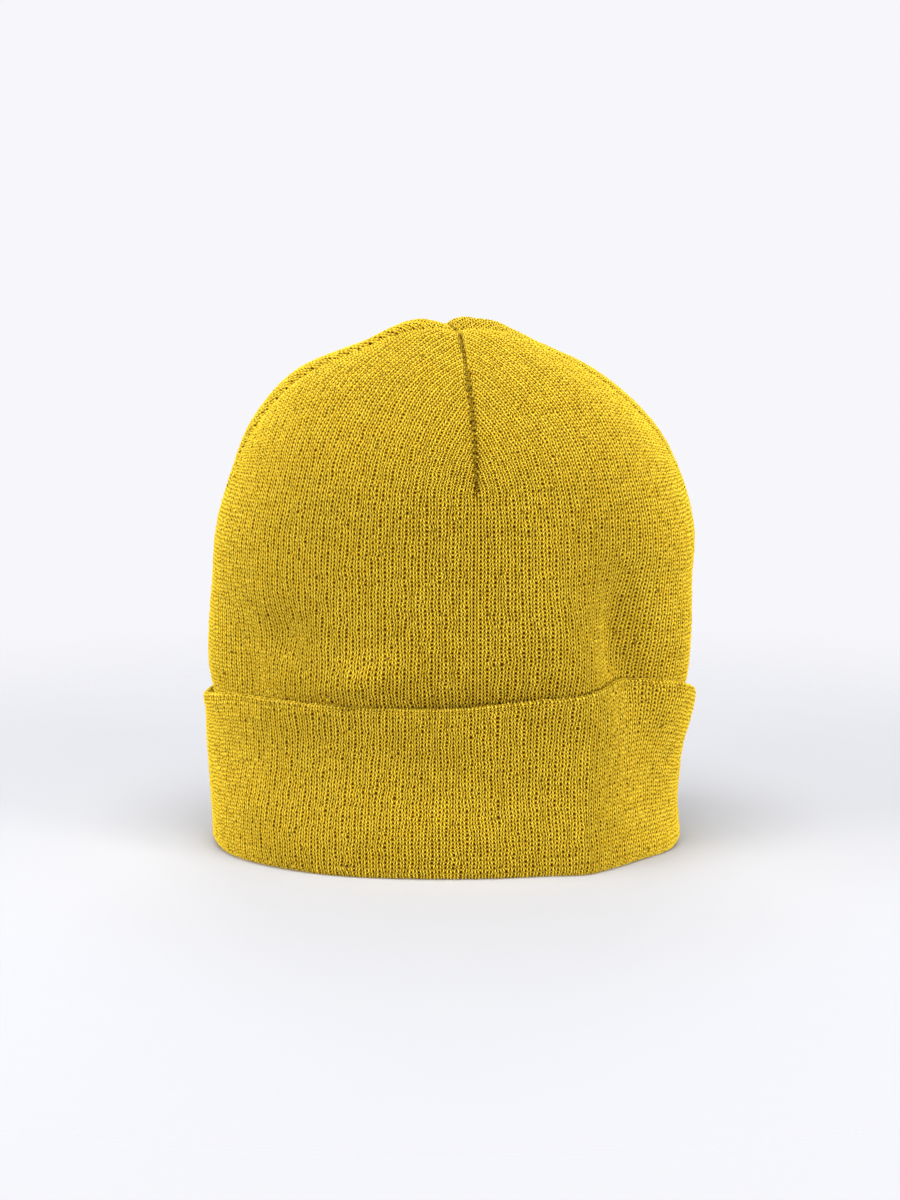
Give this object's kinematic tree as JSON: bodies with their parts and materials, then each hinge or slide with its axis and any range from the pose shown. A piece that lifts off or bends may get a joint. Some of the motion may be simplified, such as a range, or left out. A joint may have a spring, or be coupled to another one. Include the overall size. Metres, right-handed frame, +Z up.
{
  "type": "knit beanie",
  "caption": "Doubled fine-knit beanie with a deep turned-up cuff and a crown closed by crossing darts, standing upright on its cuff with the head opening down.",
  "frame": {"origin": "middle of the footprint, on the ground that the turned-up cuff stands on", "axes": "+Z up to the crown, -Y to the front with the front dart, +X to the right of someone looking at the front"},
  "size_m": [0.1928, 0.1374, 0.2032],
  "materials": {
    "outer_knit": "matt fine stockinette knit",
    "inner_knit": "matt fine stockinette knit",
    "seam_thread": "overlocked thread"
  },
  "bodies": {
    "root": {"crown_shell": "outer_knit", "cuff_face": "outer_knit", "cuff_back": "inner_knit", "lining": "inner_knit", "shell_seam_right": "seam_thread", "lining_seam_right": "seam_thread", "shell_seam_back": "seam_thread", "lining_seam_back": "seam_thread", "shell_seam_left": "seam_thread", "lining_seam_left": "seam_thread", "shell_seam_front": "seam_thread", "lining_seam_front": "seam_thread", "crown_tack": "seam_thread"}
  },
  "joints": []
}
